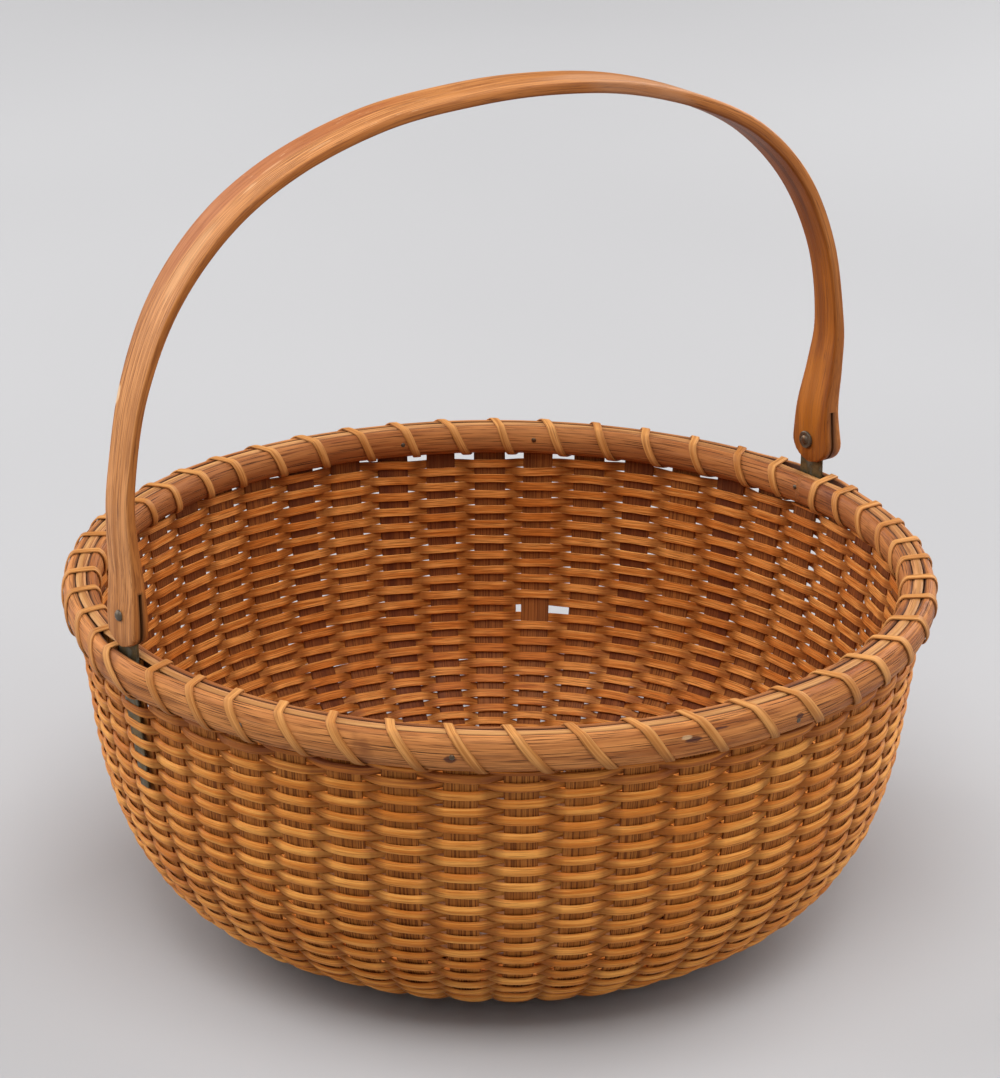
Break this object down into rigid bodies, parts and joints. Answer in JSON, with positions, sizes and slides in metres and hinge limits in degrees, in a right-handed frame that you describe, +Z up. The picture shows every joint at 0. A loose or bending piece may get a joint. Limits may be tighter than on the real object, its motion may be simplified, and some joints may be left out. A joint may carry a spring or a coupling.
{
  "type": "nantucket basket",
  "caption": "Round open basket of cane woven over flat wooden staves on a turned base, with a lashed rim and a bent wooden swing handle on brass ears.",
  "frame": {"origin": "centre of the base board's underside, on the surface that the basket stands on", "axes": "+Z up through the bowl's middle. X runs along the line through the handle's two rivets, which lies 4.4 mm to the +Y side of the middle, and the handle stands upright over that line at rest."},
  "size_m": [0.2956, 0.2917, 0.2814],
  "materials": {
    "base_oak": "satin varnish",
    "stave_oak": "satin, aged",
    "weave_cane": "satin, aged cane",
    "rim_wood": "satin, darkened",
    "pale_cane": "satin cane",
    "lashing_cane": "satin cane",
    "handle_oak": "polished by use",
    "aged_brass": "dark green grey patina",
    "dark_bronze": "dark, tarnished"
  },
  "bodies": {
    "basket": {"base_board": "base_oak", "stave_01": "stave_oak", "stave_02": "stave_oak", "stave_03": "stave_oak", "stave_04": "stave_oak", "stave_05": "stave_oak", "stave_06": "stave_oak", "stave_07": "stave_oak", "stave_08": "stave_oak", "stave_09": "stave_oak", "stave_10": "stave_oak", "stave_11": "stave_oak", "stave_12": "stave_oak", "stave_13": "stave_oak", "stave_14": "stave_oak", "stave_15": "stave_oak", "stave_16": "stave_oak", "stave_17": "stave_oak", "stave_18": "stave_oak", "stave_19": "stave_oak", "stave_20": "stave_oak", "stave_21": "stave_oak", "stave_22": "stave_oak", "stave_23": "stave_oak", "stave_24": "stave_oak", "stave_25": "stave_oak", "stave_26": "stave_oak", "stave_27": "stave_oak", "stave_28": "stave_oak", "stave_29": "stave_oak", "stave_30": "stave_oak", "stave_31": "stave_oak", "stave_32": "stave_oak", "stave_33": "stave_oak", "stave_34": "stave_oak", "stave_35": "stave_oak", "stave_36": "stave_oak", "stave_37": "stave_oak", "stave_38": "stave_oak", "stave_39": "stave_oak", "stave_40": "stave_oak", "stave_41": "stave_oak", "stave_42": "stave_oak", "stave_43": "stave_oak", "stave_44": "stave_oak", "stave_45": "stave_oak", "stave_46": "stave_oak", "stave_47": "stave_oak", "stave_48": "stave_oak", "stave_49": "stave_oak", "weave": "weave_cane", "outer_rim": "rim_wood", "inner_rim": "rim_wood", "rim_filler": "pale_cane", "lashing": "lashing_cane", "ear_left": "aged_brass", "ear_right": "aged_brass"},
    "handle": {"handle": "handle_oak", "rivet_left": "dark_bronze", "rivet_right": "dark_bronze"}
  },
  "joints": [
    {"name": "handle_swing", "type": "hinge", "parent": "basket", "child": "handle", "pos_m": [0, 0.00445, 0.1325], "axis": [1, 0, 0], "range_deg": [-98, 91]}
  ]
}
